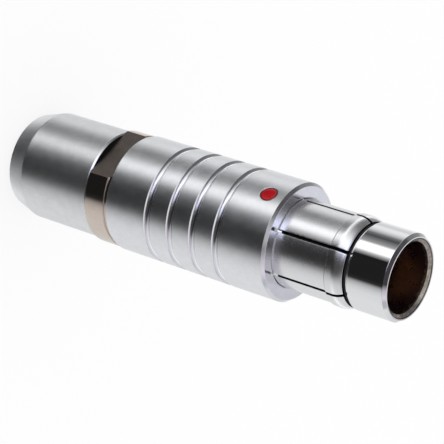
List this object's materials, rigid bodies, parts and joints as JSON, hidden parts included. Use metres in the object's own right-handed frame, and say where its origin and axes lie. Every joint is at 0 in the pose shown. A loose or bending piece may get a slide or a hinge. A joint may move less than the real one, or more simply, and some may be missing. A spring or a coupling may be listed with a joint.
{
  "type": "circular connector",
  "caption": "Round push-pull cable plug with a grooved release sleeve, slotted latch fingers, a tubular nose, spanner flats and a back nut for the cable.",
  "frame": {"origin": "centre of the back nut's rear face, where the plug stands on its cable end", "axes": "+Z along the plug's axis towards the mating nose, -Y towards the red index dot"},
  "size_m": [0.018, 0.018, 0.0694],
  "materials": {
    "satin_chrome": "satin chrome plating on turned brass",
    "bright_chrome": "polished chrome plating",
    "polished_nickel": "polished nickel plating with a warm tint",
    "spring_bronze": "satin plated spring bronze",
    "gold_contact": "gold plated contact",
    "turned_brass": "plain turned brass",
    "insulator": "ivory insulating plastic",
    "red_enamel": "glossy red index dot",
    "black_rubber": "black rubber",
    "washer_steel": "stainless washer"
  },
  "bodies": {
    "core": {"nose_shell": "bright_chrome", "nose_seal_ring": "black_rubber", "front_insulator": "insulator", "shield_contact": "gold_contact", "centre_insulator": "insulator", "centre_contact": "gold_contact", "rear_insulator": "insulator", "spacer_tube": "turned_brass", "insert_lock_ring": "turned_brass", "clamp_body": "polished_nickel", "screen_clamp_ring": "turned_brass", "screen_cone": "turned_brass", "front_thrust_washer": "washer_steel", "cable_seal": "black_rubber", "rear_thrust_washer": "washer_steel", "cable_collet": "turned_brass", "back_nut": "satin_chrome"},
    "release_sleeve": {"grip_sleeve": "satin_chrome", "latch_sleeve": "spring_bronze", "sleeve_stop_ring": "turned_brass", "index_dot": "red_enamel"}
  },
  "joints": [
    {"name": "sleeve_slide", "type": "slide", "parent": "core", "child": "release_sleeve", "axis": [0, 0, 1], "range_m": [-0.00055, 0], "stiffness_N_per_m": 2000, "springref_m": 0.0005}
  ]
}
